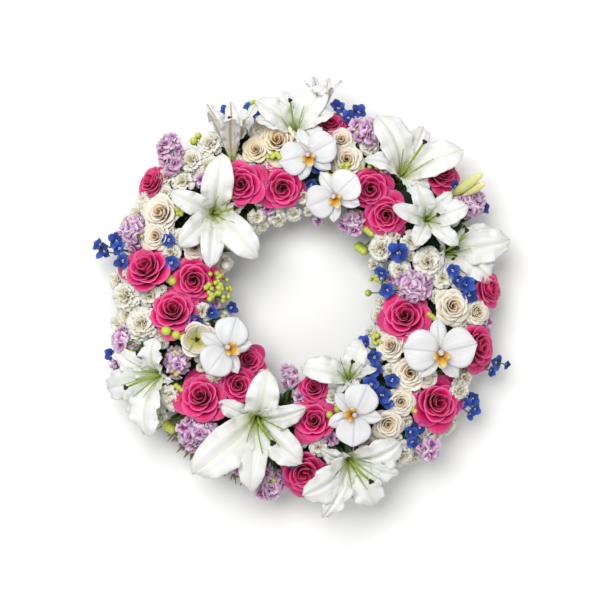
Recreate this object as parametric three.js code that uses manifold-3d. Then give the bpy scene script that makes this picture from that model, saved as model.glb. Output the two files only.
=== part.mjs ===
// A funeral wreath of cut flowers, lying face up on its plastic tray.
// Every stem is pushed into a ring of wet floral foam. Millimetres, +Z up, +Y is the wreath's top.
import * as THREE from "three";
import { mergeVertices } from "three/addons/utils/BufferGeometryUtils.js";
import Module from "manifold-3d";

const wasm = await Module();
wasm.setup();

// The ring
const coreRadius = 192; // from the wreath's centre to the middle of the foam
const coreHeight = 36;
const foamWidth = 74;
const foamTop = 60;
const foamShoulder = 14;
const trayWall = 1.6;
const trayHeight = 18;
const trayFlare = 2;
const ringSides = 36;
const gap = 0.35; // between pieces that touch
const weld = 0.01;

// Heads with no height of their own sit on a dome, domeRise above the foam's middle,
// that falls away on both sides of the ring and ends domeReach from its middle
const domeReach = 96;
const domeRise = 62;
const leastRise = 0.25;

// Stems
const stemSides = 5;
const stemStop = 13; // a stem ends this far from the middle of the foam
const stemOverlap = 5; // how far a stem runs into its head
const petalThickness = 2;

// Where each head is (across, up), its size, and how far it leans (across, up) for each unit of +Z
const roses = [
  { name: "rose_01", at: [-84, 158], size: 56, face: [-0.2, 0] },
  { name: "rose_02", at: [-31, 150], size: 54, face: [0.1, -0.2] },
  { name: "rose_03", at: [94, 149], size: 50, face: [0, -0.1] },
  { name: "rose_04", at: [116, 112], size: 50, face: [-0.1, -0.2] },
  { name: "rose_05", at: [143, -29], size: 60, face: [-0.15, 0.2] },
  { name: "rose_06", at: [189, -152], size: 60, face: [0.25, 0.05] },
  { name: "rose_07", at: [248, -74], size: 58, face: [0.9, 0] },
  { name: "rose_08", at: [264, 8], size: 48, face: [1.1, 0.1] },
  { name: "rose_09", at: [196, 174], size: 44, face: [0.5, 0.5] },
  { name: "rose_10", at: [-222, 40], size: 60, face: [-0.3, 0.45] },
  { name: "rose_11", at: [-155, 21], size: 54, face: [0, -0.1] },
  { name: "rose_12", at: [-184, -21], size: 58, face: [0, 0.35] },
  { name: "rose_13", at: [-145, -142], size: 58, face: [-0.1, 0.3] },
  { name: "rose_14", at: [-92, -127], size: 44, face: [0.1, 0.1] },
  { name: "rose_15", at: [-78, -92], size: 40, face: [0.3, 0.3] },
  { name: "rose_16", at: [14, -131], size: 36, face: [0, 0.4] },
  { name: "rose_17", at: [14, -176], size: 50, face: [-0.1, 0.2] },
  { name: "rose_18", at: [0, -252], size: 54, face: [0, -0.35] },
  { name: "rose_19", at: [39, 241], size: 44, face: [0, 0.8] },
  { name: "rose_20", at: [-218, 163], size: 42, face: [-0.9, 0.6] },
];

const lilies = [
  { name: "lily_01", at: [-126, 110], height: 126, size: 150, face: [0.1, -0.1], spin: 30 },
  { name: "lily_02", at: [-8, 232], height: 118, size: 124, face: [0, 0.4], spin: 0 },
  { name: "lily_03", at: [141, 170], height: 124, size: 146, face: [0.3, 0.35], spin: 40 },
  { name: "lily_04", at: [172, 110], height: 134, size: 112, face: [0.05, 0], spin: 30 },
  { name: "lily_05", at: [222, 68], height: 110, size: 136, face: [0.8, 0], spin: 0 },
  { name: "lily_06", at: [-66, -177], height: 128, size: 172, face: [0, -0.15], spin: 22 },
  { name: "lily_07", at: [64, -122], height: 120, size: 112, face: [-0.2, 0.5], spin: 0 },
  { name: "lily_08", at: [62, -234], height: 114, size: 152, face: [0.15, -0.4], spin: 35 },
  { name: "lily_09", at: [-202, -116], height: 116, size: 146, face: [-0.5, -0.2], spin: 36 },
  { name: "lily_10", at: [-102, 246], height: 112, size: 96, face: [0, 1.3], spin: 30, narrow: 0.6 },
  { name: "lily_11", at: [32, 280], height: 92, size: 62, face: [0.1, 1.5], spin: 0, narrow: 0.6 },
];

const orchids = [
  { name: "orchid_01", at: [-4, 194], height: 120, size: 78, face: [-0.25, 0.1], spin: -30 },
  { name: "orchid_02", at: [40, 142], height: 118, size: 84, face: [-0.35, -0.3], spin: 20 },
  { name: "orchid_03", at: [192, -77], height: 121, size: 96, face: [0.1, -0.1], spin: -5 },
  { name: "orchid_04", at: [70, -176], height: 119, size: 80, face: [0.1, -0.2], spin: 50 },
  { name: "orchid_05", at: [-108, -74], height: 117, size: 80, face: [0.35, 0.1], spin: 20 },
];

const lisianthus = { name: "lisianthus_01", at: [-149, -62], height: 114, size: 42, face: [0.1, 0.1] };

const stocks = [
  { name: "stock_01", at: [-190, 199], size: 42, length: 60, face: [-0.5, 1.1] },
  { name: "stock_02", at: [-241, 90], size: 42, length: 58, face: [-1.1, 0.4] },
  { name: "stock_03", at: [-250, -71], size: 44, length: 48, face: [-1.1, -0.3] },
  { name: "stock_04", at: [-178, -95], size: 38, length: 46, face: [0, -0.2], rootTurn: -4 },
  { name: "stock_05", at: [-145, -198], size: 66, length: 54, face: [-0.5, -0.5] },
  { name: "stock_06", at: [-50, -268], size: 54, length: 50, face: [-0.2, -1] },
  { name: "stock_07", at: [86, 229], size: 50, length: 50, face: [0.2, 0.6] },
  { name: "stock_08", at: [240, 128], size: 46, length: 48, face: [1, 0.5] },
  { name: "stock_09", at: [154, 11], size: 54, length: 48, face: [-0.2, 0] },
];

// Branching stems: each head's place (across, up) and its size
const creamRoses = [
  { name: "cream_rose_01", heads: [{ at: [53, 219], size: 36 }, { at: [60, 191], size: 44 }] },
  { name: "cream_rose_02", heads: [{ at: [210, -16], size: 48 }, { at: [246, -25], size: 34 }] },
  {
    name: "cream_rose_03",
    heads: [
      { at: [122, -71], size: 42 },
      { at: [149, -110], size: 48 },
      { at: [136, -151], size: 38 },
      { at: [118, -183], size: 42 },
    ],
  },
  { name: "cream_rose_04", heads: [{ at: [-37, 218], size: 54 }, { at: [-68, 205], size: 34 }] },
  {
    name: "cream_rose_05",
    heads: [{ at: [-203, 117], size: 54 }, { at: [-209, 84], size: 40 }, { at: [-153, 62], size: 36 }],
  },
];

const carnations = [
  {
    name: "carnation_01",
    heads: [{ at: [139, -229], size: 46 }, { at: [186, -200], size: 40 }, { at: [222, -136], size: 34 }],
  },
  { name: "carnation_02", heads: [{ at: [-134, 216], size: 40 }, { at: [-160, 192], size: 44 }] },
  { name: "carnation_03", heads: [{ at: [-254, -1], size: 48 }, { at: [-227, -38], size: 54 }] },
  {
    name: "carnation_04",
    heads: [{ at: [108, 66], size: 42 }, { at: [134, 36], size: 34 }, { at: [174, 46], size: 46 }],
    rootTurn: -6,
  },
];

const delphiniums = [
  {
    name: "delphinium_01",
    heads: [{ at: [-266, 76], size: 20 }, { at: [-284, 62], size: 20 }, { at: [-256, 46], size: 20 }],
  },
  {
    name: "delphinium_02",
    heads: [{ at: [94, -126], size: 22 }, { at: [110, -141], size: 22 }, { at: [101, -104], size: 20 }],
  },
];

const hypericum = {
  name: "hypericum_01",
  heads: [{ at: [-122, 10], size: 13 }, { at: [-111, -4], size: 13 }, { at: [-116, 23], size: 12 }],
};

const roseColour = 0xd4145f;
const lilyColour = 0xe9e9e2;
const orchidColour = 0xe6e2e6;
const lisianthusColour = 0xe8dcb8;
const stockColour = 0xcf8fc4;
const creamColour = 0xe9dfc2;
const carnationColour = 0xe6e2d4;
const delphiniumColour = 0x2f57b8;
const berryColour = 0xa9b23a;
const foamColour = 0x3f6b3a;
const trayColour = 0x24402a;

// A geometry as an exact solid, and a solid as a geometry
function solidOf(geometry) {
  const bare = geometry.clone();
  bare.deleteAttribute("normal");
  bare.deleteAttribute("uv");
  const merged = mergeVertices(bare, 1e-3);
  const vertProperties = new Float32Array(merged.attributes.position.array);
  const triVerts = new Uint32Array(merged.index.array);
  return new wasm.Manifold(new wasm.Mesh({ numProp: 3, vertProperties, triVerts }));
}

function geometryOf(solid) {
  const mesh = solid.getMesh();
  const geometry = new THREE.BufferGeometry();
  geometry.setAttribute("position", new THREE.BufferAttribute(mesh.vertProperties, 3));
  geometry.setIndex(new THREE.BufferAttribute(mesh.triVerts, 1));
  return welded(geometry);
}

// Joins points that a cut left closer than the weld, and drops the slivers between them
function welded(geometry) {
  const merged = mergeVertices(geometry, weld);
  const corners = merged.index.array;
  const kept = [];
  for (let i = 0; i < corners.length; i += 3) {
    const [a, b, c] = corners.subarray(i, i + 3);
    if (a !== b && b !== c && c !== a) kept.push(a, b, c);
  }
  merged.setIndex(kept);
  merged.computeVertexNormals();
  return merged;
}

function joined(geometries) {
  return geometries.map(solidOf).reduce((whole, piece) => whole.add(piece));
}

// A ring turned round the Z axis from a closed profile of [radius, height] points
function turned(profile) {
  const points = profile.map(([radius, height]) => new THREE.Vector2(radius, height));
  return new THREE.LatheGeometry(points, ringSides).rotateX(Math.PI / 2);
}

// A head turned round the Z axis, from its stem out to its rim and back in to its heart.
// ringAt gives [radius, height] for each ring at each angle; the first and last ring are points.
// From ring backFrom on, the surface runs back over the one below it, so its four-sided patches
// are split along the same diagonals and the petal keeps its thickness.
function bloom(rings, sides, ringAt, backFrom = rings) {
  const arc = Array.from(
    { length: rings },
    (_, ring) => new THREE.Vector2(Math.sin((Math.PI * ring) / (rings - 1)), ring),
  );
  const lathe = new THREE.LatheGeometry(arc, sides);
  const place = lathe.attributes.position;
  for (let i = 0; i < place.count; i++) {
    const ring = i % rings;
    const angle = (2 * Math.PI * (Math.floor(i / rings) % sides)) / sides;
    const [radius, height] = ring === 0 || ring === rings - 1
      ? [0, ringAt(ring, 0)[1]]
      : ringAt(ring, angle);
    place.setXYZ(i, radius * Math.cos(angle), radius * Math.sin(angle), height);
  }
  const corners = lathe.index.array;
  for (let i = 0; i < corners.length; i += 6) {
    if ((i / 6) % (rings - 1) < backFrom) continue;
    const [a, b, d, c] = corners.subarray(i, i + 4);
    corners.set([a, b, c, a, c, d], i);
  }
  return lathe;
}

// A point of a head of this size, moved outwards from the head's axis at a height inside it
function grownFrom(inside, [radius, height], size, grow) {
  const scale = 1 + (2 * grow) / size;
  return [radius * scale, inside + (height - inside) * scale];
}

// A rose: outer petals rolled back from a cup, a crest of inner petals and a pointed heart.
// Each ring is [radius, height, petals on that ring, depth of the notches between them].
function roseHead({ size }, grow) {
  const rings = [
    [0, -0.5, 0, 0],
    [0.13, -0.47, 0, 0],
    [0.39, -0.24, 5, 0.02],
    [0.48, 0.03, 5, 0.07],
    [0.36, 0.0, 5, 0.04],
    [0.3, 0.17, 3, 0.09],
    [0.15, 0.09, 3, 0.05],
    [0, 0.2, 0, 0],
  ];
  const ringAt = (ring, angle) => {
    const [radius, height, petals, notch] = rings[ring];
    const wave = 1 + notch * Math.cos(petals * angle);
    return grownFrom(-0.2 * size, [radius * size * wave, height * size], size, grow);
  };
  return [bloom(rings.length, 10, ringAt)];
}

// A lily: six pointed petals, three of them broader, flare from a slim throat round one pistil
function lilyHead({ size, narrow = 1 }, grow) {
  const under = [0, 0, 0.5, 1];
  const over = [1, 0.5, 0.12];
  const steps = [...under, ...over];
  const ringAt = (ring, angle) => {
    const middle = Math.cos(6 * angle);
    const outline = 0.76 + 0.34 * middle - 0.1 * middle ** 2 + 0.04 * Math.cos(3 * angle);
    const along = outline * steps[ring];
    const side = ring < under.length ? -1 : 1;
    const outwards = side < 0 || steps[ring] === 1 ? grow : -grow;
    const radius = (0.03 + 0.47 * along ** 1.15 * narrow) * size + outwards;
    const flare = -0.34 * (1 - along) ** 2 - 0.04 * Math.max(0, along - 0.6);
    const groove = -0.014 * middle * along;
    return [radius, (flare + groove) * size + side * (petalThickness / 2 + grow)];
  };
  const pistil = rod(
    new THREE.Vector3(0, 0, -0.3 * size),
    new THREE.Vector3(0.06 * size, -0.04 * size, 0.12 * size),
    1.6 + grow,
  );
  return [bloom(steps.length, 24, ringAt, under.length), pistil];
}

// A moth orchid: two wide petals, three narrower sepals and a small lip in front
function orchidHead({ size }, grow) {
  const lobes = [
    { angle: 12, reach: 0.5, spread: 44 },
    { angle: 168, reach: 0.5, spread: 44 },
    { angle: 90, reach: 0.42, spread: 26 },
    { angle: -52, reach: 0.4, spread: 26 },
    { angle: 232, reach: 0.4, spread: 26 },
  ];
  const under = [0, 0.1, 1];
  const over = [1, 0.5, 0];
  const steps = [...under, ...over];
  const outlineAt = (angle) => {
    const reaches = lobes.map(({ angle: middle, reach, spread }) => {
      const away = THREE.MathUtils.euclideanModulo(THREE.MathUtils.radToDeg(angle) - middle + 180, 360) - 180;
      return reach * Math.sqrt(Math.cos((Math.PI / 2) * Math.min(1, Math.abs(away) / spread)));
    });
    return Math.max(0.2, ...reaches);
  };
  const ringAt = (ring, angle) => {
    const step = steps[ring];
    const side = ring < under.length ? -1 : 1;
    const wave = 0.05 * size * Math.cos(2 * angle) * step ** 2;
    return [outlineAt(angle) * size * step + grow, wave + side * (petalThickness / 2 + grow)];
  };
  const lip = new THREE.SphereGeometry(0.1 * size + grow, 6, 4).translate(0, -0.12 * size, 3);
  return [bloom(steps.length, 20, ringAt), lip];
}

// A lisianthus: an open bell with a wavy rim
function bellHead({ size }, grow) {
  const rings = [
    [0, -0.85],
    [0.16, -0.8],
    [0.36, -0.4],
    [0.5, 0],
    [0.43, 0.03],
    [0.24, -0.33],
    [0, -0.45],
  ];
  const ringAt = (ring, angle) => {
    const [radius, height] = rings[ring];
    const wave = 1 + 0.06 * Math.cos(5 * angle);
    return grownFrom(-0.4 * size, [radius * size * wave, height * size], size, grow);
  };
  return [bloom(rings.length, 10, ringAt)];
}

// A knobbly ball or spike of small florets: a sphere whose surface rises and falls in lobes
function floretHead({ size, length = size, sides = 9, lobes = 4 }, grow) {
  const ball = new THREE.SphereGeometry(1, sides, Math.ceil(sides / 2));
  const place = ball.attributes.position;
  const direction = new THREE.Vector3();
  for (let i = 0; i < place.count; i++) {
    direction.fromBufferAttribute(place, i);
    const around = Math.atan2(direction.z, direction.x);
    const fromPole = Math.hypot(direction.x, direction.z);
    const lobe = 1 - 0.08 * fromPole * (1 + Math.cos(lobes * around + 4 * direction.y));
    const radius = (size / 2 + grow) * lobe;
    place.setXYZ(i, direction.x * radius, direction.y * (length / 2 + grow), direction.z * radius);
  }
  return [ball.rotateX(Math.PI / 2)];
}

function berryHead({ size }, grow) {
  return [new THREE.SphereGeometry(size / 2 + grow, 6, 4)];
}

// A straight round rod between two points
function rod(from, to, radius) {
  const along = to.clone().sub(from);
  const straightUp = new THREE.Vector3(0, 1, 0);
  const turn = new THREE.Quaternion().setFromUnitVectors(straightUp, along.clone().normalize());
  const middle = from.clone().add(to).multiplyScalar(0.5);
  return new THREE.CylinderGeometry(radius, radius, along.length(), stemSides)
    .applyQuaternion(turn)
    .translate(middle.x, middle.y, middle.z);
}

// How high the dome is at a place, and which way it leans there
function domeAt([x, y]) {
  const radius = Math.hypot(x, y);
  const reach = (radius - coreRadius) / domeReach;
  const rise = Math.sqrt(Math.max(leastRise ** 2, 1 - reach ** 2));
  const lean = (reach * domeRise) / (rise * domeReach);
  return { height: coreHeight + domeRise * rise, lean: [(lean * x) / radius, (lean * y) / radius] };
}

// Moves a head to its place and turns its axis from +Z to the way it faces
function placement({ at, height, face, spin = 0 }) {
  const dome = domeAt(at);
  const facing = new THREE.Vector3(...(face ?? dome.lean), 1).normalize();
  const side = new THREE.Vector3(0, 1, 0).cross(facing).normalize();
  const up = facing.clone().cross(side);
  return new THREE.Matrix4()
    .makeBasis(side, up, facing)
    .setPosition(at[0], at[1], height ?? dome.height)
    .multiply(new THREE.Matrix4().makeRotationZ(THREE.MathUtils.degToRad(spin)));
}

// The point on a head's axis this far below its middle
function belowHead(matrix, depth) {
  return new THREE.Vector3(0, 0, -depth).applyMatrix4(matrix);
}

// Where a stem from this point ends inside the foam; rootTurn moves its foot round the ring
function footFor(from, rootTurn = 0) {
  const core = new THREE.Vector3(from.x, from.y, 0)
    .setLength(coreRadius)
    .applyAxisAngle(new THREE.Vector3(0, 0, 1), THREE.MathUtils.degToRad(rootTurn))
    .setZ(coreHeight);
  return from.clone().sub(core).setLength(stemStop).add(core);
}

// A flower's solids, and the same solids grown by the gap that its neighbours keep
function flowerSolids({ name, colour, headFor, stemFor }) {
  return {
    name,
    colour,
    head: joined(headFor(0)),
    grownHead: joined(headFor(gap)),
    stem: joined(stemFor(0)),
    grownStem: joined(stemFor(gap)),
  };
}

// A flower with one head on a straight stem that runs into it depth below its middle
function singleFlower(flower, headShape, depth, stemRadius, colour) {
  const matrix = placement(flower);
  const top = belowHead(matrix, depth - stemOverlap);
  const foot = footFor(belowHead(matrix, depth), flower.rootTurn);
  const headFor = (grow) =>
    headShape(flower, grow).map((part) => part.applyMatrix4(matrix));
  const stemFor = (grow) => {
    const longer = foot.clone().sub(top).setLength(grow);
    return [rod(top, foot.clone().add(longer), stemRadius + grow)];
  };
  return flowerSolids({ name: flower.name, colour, headFor, stemFor });
}

// A branching stem: a trunk from the foam to a fork, and a twig from the fork to each head
function branchingFlower({ name, heads, rootTurn }, headShape, stemRadius, colour) {
  const places = heads.map((head) => {
    const matrix = placement(head);
    return { head, matrix, base: belowHead(matrix, 0.38 * head.size) };
  });
  const middle = places
    .reduce((sum, { base }) => sum.add(base), new THREE.Vector3())
    .divideScalar(places.length);
  const foot = footFor(middle, rootTurn);
  const fork = foot.clone().lerp(middle, 0.7);
  const headFor = (grow) =>
    places.flatMap(({ head, matrix }) =>
      headShape(head, grow).map((part) => part.applyMatrix4(matrix)),
    );
  const stemFor = (grow) => {
    const longer = foot.clone().sub(fork).setLength(grow);
    const trunk = rod(fork, foot.clone().add(longer), stemRadius + grow);
    return [trunk, ...places.map(({ base }) => rod(base, fork, stemRadius + grow))];
  };
  return flowerSolids({ name, colour, headFor, stemFor });
}

// Heads give way to every other stem and to the heads before them, as petals do when packed
function packed(flowers) {
  const meet = (a, b) => {
    const [boxA, boxB] = [a.boundingBox(), b.boundingBox()];
    return [0, 1, 2].every((axis) => boxA.min[axis] < boxB.max[axis] && boxB.min[axis] < boxA.max[axis]);
  };
  return flowers.map((flower, i) => {
    let { head } = flower;
    flowers.forEach((other, j) => {
      if (j !== i && meet(head, other.grownStem)) head = head.subtract(other.grownStem);
      if (j < i && meet(head, other.grownHead)) head = head.subtract(other.grownHead).subtract(other.head);
    });
    const pieces = head.add(flower.stem).decompose();
    const whole = pieces.reduce((a, b) => (b.volume() > a.volume() ? b : a));
    return { ...flower, solid: whole };
  });
}

// The tray: a shallow channel with flared walls that the foam is pressed into
function trayGeometry() {
  const inner = coreRadius - foamWidth / 2 - gap;
  const outer = coreRadius + foamWidth / 2 + gap;
  return turned([
    [inner - trayWall, 0],
    [outer + trayWall, 0],
    [outer + trayWall + trayFlare, trayHeight],
    [outer + trayFlare, trayHeight],
    [outer, trayWall],
    [inner, trayWall],
    [inner - trayFlare, trayHeight],
    [inner - trayWall - trayFlare, trayHeight],
    [inner - trayWall, 0],
  ]);
}

// The foam: a ring with bevelled shoulders
function foamGeometry() {
  const inner = coreRadius - foamWidth / 2;
  const outer = coreRadius + foamWidth / 2;
  const floor = trayWall + gap;
  return turned([
    [inner, floor],
    [outer, floor],
    [outer, foamTop - foamShoulder],
    [outer - foamShoulder, foamTop],
    [inner + foamShoulder, foamTop],
    [inner, foamTop - foamShoulder],
    [inner, floor],
  ]);
}

function meshOf(name, geometry, colour, roughness) {
  const material = new THREE.MeshStandardMaterial({ color: colour, roughness, metalness: 0 });
  const mesh = new THREE.Mesh(geometry, material);
  mesh.name = name;
  return mesh;
}

const flowers = packed([
  ...lilies.map((f) => singleFlower(f, lilyHead, 0.34 * f.size, 3, lilyColour)),
  ...orchids.map((f) => singleFlower(f, orchidHead, 5, 2.2, orchidColour)),
  singleFlower(lisianthus, bellHead, 0.82 * lisianthus.size, 2.2, lisianthusColour),
  ...roses.map((f) => singleFlower(f, roseHead, 0.47 * f.size, 2.6, roseColour)),
  ...stocks.map((f) => singleFlower(f, floretHead, 0.45 * f.length, 2.6, stockColour)),
  ...creamRoses.map((f) => branchingFlower(f, roseHead, 2.2, creamColour)),
  ...carnations.map((f) => branchingFlower(f, floretHead, 2.2, carnationColour)),
  ...delphiniums.map((f) => branchingFlower(f, berryHead, 1.6, delphiniumColour)),
  branchingFlower(hypericum, berryHead, 1.4, berryColour),
]);

const foam = flowers.reduce((ring, f) => ring.subtract(f.grownStem), solidOf(foamGeometry()));
const wreath = new THREE.Group();
wreath.add(meshOf("base_tray", trayGeometry(), trayColour, 0.5));
wreath.add(meshOf("foam_ring", geometryOf(foam), foamColour, 0.95));
for (const { name, solid, colour } of flowers)
  wreath.add(meshOf(name, geometryOf(solid), colour, 0.6));

// The origin is the middle of the whole box, on the surface that the tray stands on
const box = new THREE.Box3().setFromObject(wreath);
const middle = box.getCenter(new THREE.Vector3());
wreath.position.set(-middle.x, -middle.y, 0);

export default wreath;
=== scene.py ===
import math
import bpy
import numpy as np
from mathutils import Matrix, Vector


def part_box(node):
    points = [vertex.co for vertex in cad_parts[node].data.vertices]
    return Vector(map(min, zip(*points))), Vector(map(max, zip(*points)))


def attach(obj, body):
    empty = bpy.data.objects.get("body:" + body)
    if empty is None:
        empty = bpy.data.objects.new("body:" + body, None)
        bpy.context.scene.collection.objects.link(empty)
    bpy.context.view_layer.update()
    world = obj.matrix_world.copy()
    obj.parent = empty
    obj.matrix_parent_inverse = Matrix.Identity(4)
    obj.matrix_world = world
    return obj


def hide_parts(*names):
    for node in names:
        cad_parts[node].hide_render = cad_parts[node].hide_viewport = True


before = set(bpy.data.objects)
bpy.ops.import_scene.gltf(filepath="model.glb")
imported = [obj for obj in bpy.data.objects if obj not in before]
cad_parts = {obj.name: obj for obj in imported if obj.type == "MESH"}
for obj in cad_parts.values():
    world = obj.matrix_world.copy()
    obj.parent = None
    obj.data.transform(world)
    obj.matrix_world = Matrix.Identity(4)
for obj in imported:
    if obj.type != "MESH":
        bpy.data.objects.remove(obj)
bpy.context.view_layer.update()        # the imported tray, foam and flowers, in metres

foamLow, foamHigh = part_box("foam_ring")
ringCentre = np.array([foamLow.x + foamHigh.x, foamLow.y + foamHigh.y, 0]) / 2
mm = 0.001
fullTurn = 2 * math.pi
anyPhase = (0, 6.28)    # the range of a random phase
golden = math.pi * (3 - math.sqrt(5))    # the turn between one petal and the next

# The dome of heads over the foam, as in the CAD model, in millimetres
dome = {"radius": 192, "base": 36, "reach": 96, "rise": 62, "leastRise": 0.25}


# Helpers for materials

def linearColour(hexCode):
    # sRGB to linear: below 0.04045 divide by 12.92, above it ((c + 0.055) / 1.055) to the power 2.4
    channels = [int(hexCode[i:i + 2], 16) / 255 for i in (1, 3, 5)]
    linear = [c / 12.92 if c <= 0.04045 else ((c + 0.055) / 1.055) ** 2.4 for c in channels]
    return (*linear, 1)


def addNode(tree, kind, settings=(), inputs=()):
    # inputs hold either a plain value or another node's socket, which is linked
    node = tree.nodes.new(kind)
    for name, value in dict(settings).items():
        setattr(node, name, value)
    for socket, value in dict(inputs).items():
        if isinstance(value, bpy.types.NodeSocket):
            tree.links.new(value, node.inputs[socket])
        else:
            node.inputs[socket].default_value = value
    return node


def startMaterial(name):
    material = bpy.data.materials.new(name)
    material.use_nodes = True
    material.node_tree.nodes.clear()
    return material, material.node_tree


def attribute(tree, name):
    return addNode(tree, "ShaderNodeAttribute", {"attribute_name": name}).outputs["Fac"]


def objectPlace(tree):
    return addNode(tree, "ShaderNodeTexCoord").outputs["Object"]


def product(tree, value, factor):
    times = addNode(tree, "ShaderNodeMath", {"operation": "MULTIPLY"}, {0: value, 1: factor})
    return times.outputs["Value"]


def mapped(tree, value, fromMin, fromMax, toMin, toMax):
    # A straight line from one range to the other, held at both ends
    limits = {"From Min": fromMin, "From Max": fromMax, "To Min": toMin, "To Max": toMax}
    return addNode(tree, "ShaderNodeMapRange", {}, {"Value": value, **limits}).outputs["Result"]


def noise(tree, place, scale, detail, roughness=0.5):
    inputs = {"Vector": place, "Scale": scale, "Detail": detail, "Roughness": roughness}
    return addNode(tree, "ShaderNodeTexNoise", {}, inputs).outputs["Fac"]


def ramp(tree, factor, stops):
    # Colours along a factor; stops are (place from 0 to 1, hex colour)
    node = addNode(tree, "ShaderNodeValToRGB", {}, {"Fac": factor})
    elements = node.color_ramp.elements
    while len(elements) > 1:
        elements.remove(elements[-1])
    elements[0].position = stops[0][0]
    elements[0].color = linearColour(stops[0][1])
    for place, colour in stops[1:]:
        elements.new(place).color = linearColour(colour)
    return node.outputs["Color"]


def laidOver(tree, under, factor, colour):
    inputs = {"Factor": factor, "A": under, "B": linearColour(colour)}
    return addNode(tree, "ShaderNodeMix", {"data_type": "RGBA"}, inputs).outputs["Result"]


def shaded(tree, colour, value):
    return addNode(tree, "ShaderNodeHueSaturation", {}, {"Color": colour, "Value": value}).outputs["Color"]


def finishMaterial(tree, colour, height, depth, distance, skin):
    # A material's last nodes: a bump, the surface with this skin, and the output
    bump = addNode(tree, "ShaderNodeBump", {}, {"Height": height, "Strength": depth, "Distance": distance})
    inputs = {"Base Color": colour, "Normal": bump.outputs["Normal"], **skin}
    surface = addNode(tree, "ShaderNodeBsdfPrincipled", {}, inputs)
    addNode(tree, "ShaderNodeOutputMaterial", {}, {"Surface": surface.outputs["BSDF"]})


# The marks that every point of a petal carries
markNames = ("along", "across", "layer", "tone", "back")

# What petals look like unless their own look says otherwise
petalDefaults = {
    "heart": "#ffffff", "heartSize": 0.4, "heartAmount": 0,
    "ribColour": "#ffffff", "ribWidth": 0.1, "ribAmount": 0, "backAmount": 0.4,
    "veins": 12, "veinAndShadeAmount": 0.2, "veinDepth": 0.4,
    "roughness": 0.5, "gloss": 0.35, "sheen": 0.2, "glow": 0.2,
}


def petalMaterial(name, look):
    # A cut petal: a waxy skin full of fine veins that run from its root to its rim, so streaks follow it,
    # and light glows through it a little. Its colour changes from root to rim: on the roses, cream roses,
    # stock and white frills the darker root and inner petals are painted shade, and on the roses the pale
    # rim is a painted highlight
    look = {**petalDefaults, **look}
    material, tree = startMaterial(name)
    along, across, layer, tone, back = [attribute(tree, key) for key in markNames]
    fromMidrib = addNode(tree, "ShaderNodeMath", {"operation": "ABSOLUTE"}, {0: across}).outputs["Value"]
    # Noise that is long along the petal and narrow across it, at another place for each petal
    streaks = {"X": product(tree, across, look["veins"]), "Y": along, "Z": product(tree, tone, 40)}
    streakPlace = addNode(tree, "ShaderNodeCombineXYZ", {}, streaks).outputs["Vector"]
    veins = noise(tree, streakPlace, scale=1.6, detail=3, roughness=0.6)
    # Laid over that: the heart colour on the inner petals, the back's colour, the midrib's colour and the
    # streak colour; on the white lilies and orchids the grey streaks are painted shade in the grooves, and
    # so is the orchids' grey midrib
    layers = [
        (mapped(tree, layer, 0, look["heartSize"], look["heartAmount"], 0), look["heart"]),
        (product(tree, back, look["backAmount"]), look["back"]),
        (mapped(tree, fromMidrib, 0.02, look["ribWidth"], look["ribAmount"], 0), look["ribColour"]),
        (mapped(tree, veins, 0.42, 0.66, look["veinAndShadeAmount"], 0), look["veinAndShadeColour"]),
    ]
    colour = ramp(tree, along, look["alongPetal"])
    for factor, over in layers:
        colour = laidOver(tree, colour, factor, over)
    spread = look["toneSpread"]
    colour = shaded(tree, colour, mapped(tree, tone, 0, 1, 1 - spread, 1 + spread * 0.6))
    skin = {
        "Roughness": look["roughness"], "IOR": 1.42, "Specular IOR Level": look["gloss"],
        "Sheen Weight": look["sheen"], "Sheen Roughness": 0.45,
        "Subsurface Weight": look["glow"], "Subsurface Scale": 0.0025,
        "Subsurface Radius": (1.0, 0.7, 0.6),
    }
    finishMaterial(tree, colour, veins, depth=look["veinDepth"], distance=0.0012, skin=skin)
    return material


def stemMaterial(name, stops, roughness=0.45):
    # A stem or a bud: a smooth waxy skin that changes colour from its root to its tip, with a
    # grain of about 2.5 mm that breaks up its shine
    material, tree = startMaterial(name)
    grain = noise(tree, objectPlace(tree), scale=400, detail=2)
    lightness = mapped(tree, grain, 0, 1, 0.75, 1.2)
    colour = shaded(tree, ramp(tree, attribute(tree, "along"), stops), lightness)
    skin = {"Roughness": roughness, "IOR": 1.42}
    finishMaterial(tree, colour, grain, depth=0.25, distance=0.0008, skin=skin)
    return material


# Helpers for shapes

def lerp(a, b, t):
    return a + (b - a) * t


def unit(vectors):
    return vectors / (np.linalg.norm(vectors, axis=-1, keepdims=True) + 1e-12)


def petalGrid(style):
    # v runs from a petal's root to its rim, u from its left edge to its right
    v = np.linspace(0, 1, style["rows"])[None, :, None]
    u = np.linspace(-1, 1, style["columns"])[None, None, :]
    return v, u


def turnedSheet(out, across, up, turn):
    # Turns petals that lie along +X round the head's axis
    x = out * np.cos(turn) + across * np.sin(turn)
    y = out * np.sin(turn) - across * np.cos(turn)
    return np.stack([x, y, up + 0 * x], -1)


def thickSheet(sheet, thickness):
    # The back of a petal is its front moved by its thickness against the surface's normal;
    # front and back together go once round the petal's edge
    normal = unit(np.cross(np.gradient(sheet, axis=2), np.gradient(sheet, axis=1)))
    back = sheet - normal * thickness
    return np.concatenate([sheet, back[:, :, ::-1]], axis=2)


def sheetMarks(along, across, layer, tone, shape):
    # Four numbers on each point: along the petal, across it, its layer in the head, its own tone
    marks = np.stack([np.broadcast_to(m, shape) for m in (along, across, layer, tone)], -1)
    return np.concatenate([marks, marks[:, :, ::-1]], axis=2)


def petals(sheet, style, v, u, layer, tone):
    # Closed petals and their marks, out of the petals' front surfaces
    return thickSheet(sheet, style["thickness"]), sheetMarks(v, u, layer, tone, sheet.shape[:3])


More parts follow.
